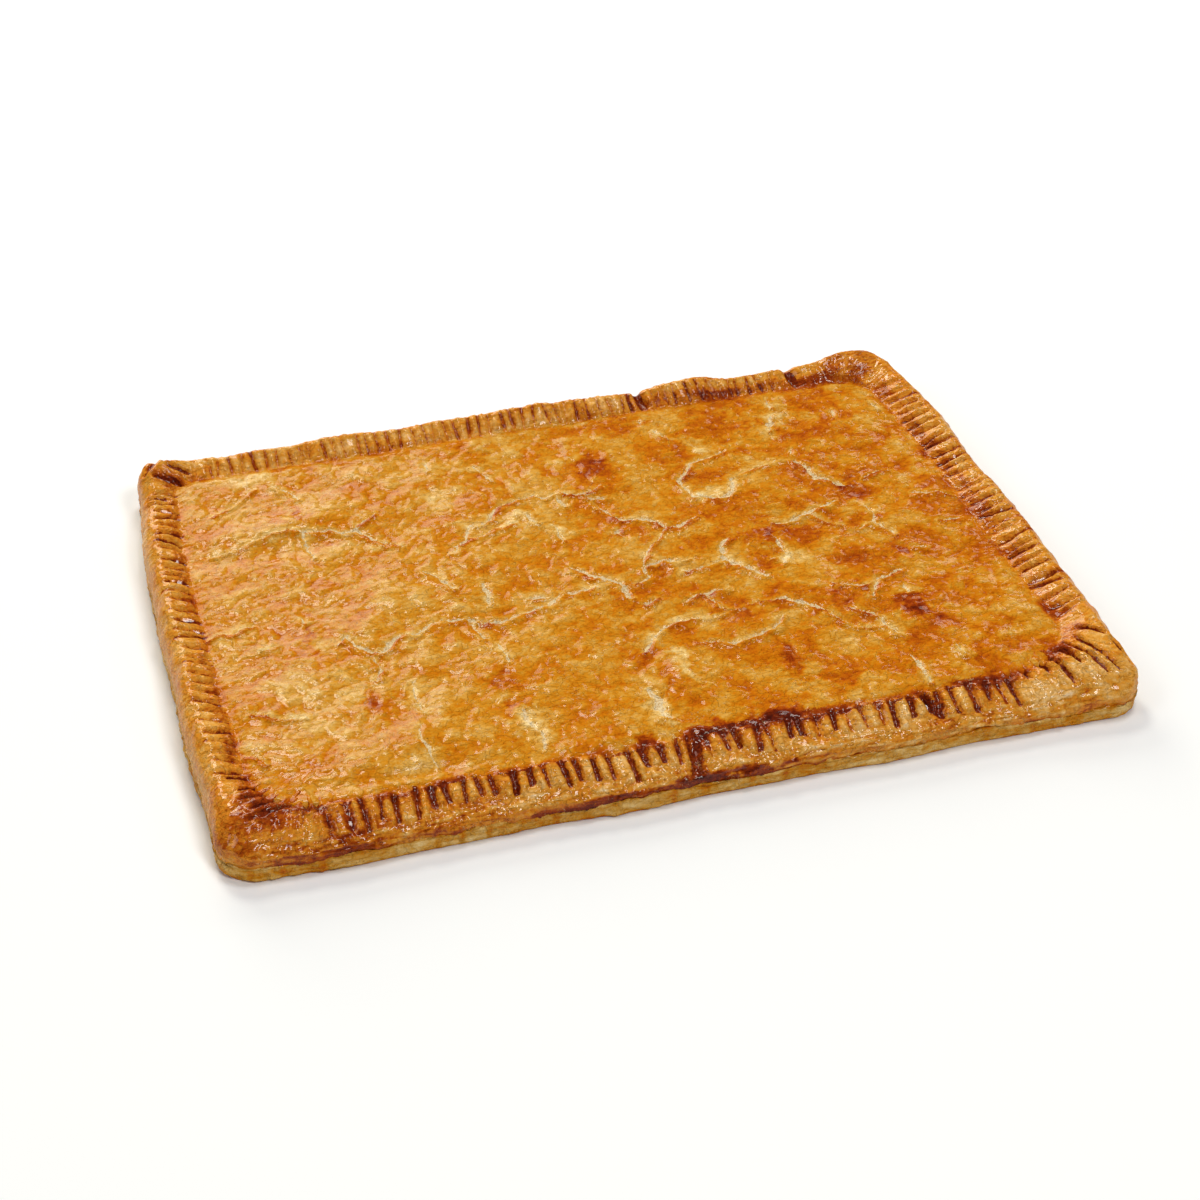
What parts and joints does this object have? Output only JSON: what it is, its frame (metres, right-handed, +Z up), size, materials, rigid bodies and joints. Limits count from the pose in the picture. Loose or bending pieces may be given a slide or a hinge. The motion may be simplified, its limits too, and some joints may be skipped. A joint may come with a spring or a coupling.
{
  "type": "empanada",
  "caption": "Tray-baked rectangular empanada with a golden cracked lid and a folded edge pressed with a fork.",
  "frame": {"origin": "on the base, under the middle of the outline", "axes": "+X along the long side, +Y towards the back edge, +Z up from the base"},
  "size_m": [0.4006, 0.292, 0.0285],
  "materials": {
    "crust": "golden baked pastry with an egg-wash sheen, red-brown where it caught, pale in the cracks"
  },
  "bodies": {
    "root": {"empanada": "crust"}
  },
  "joints": []
}
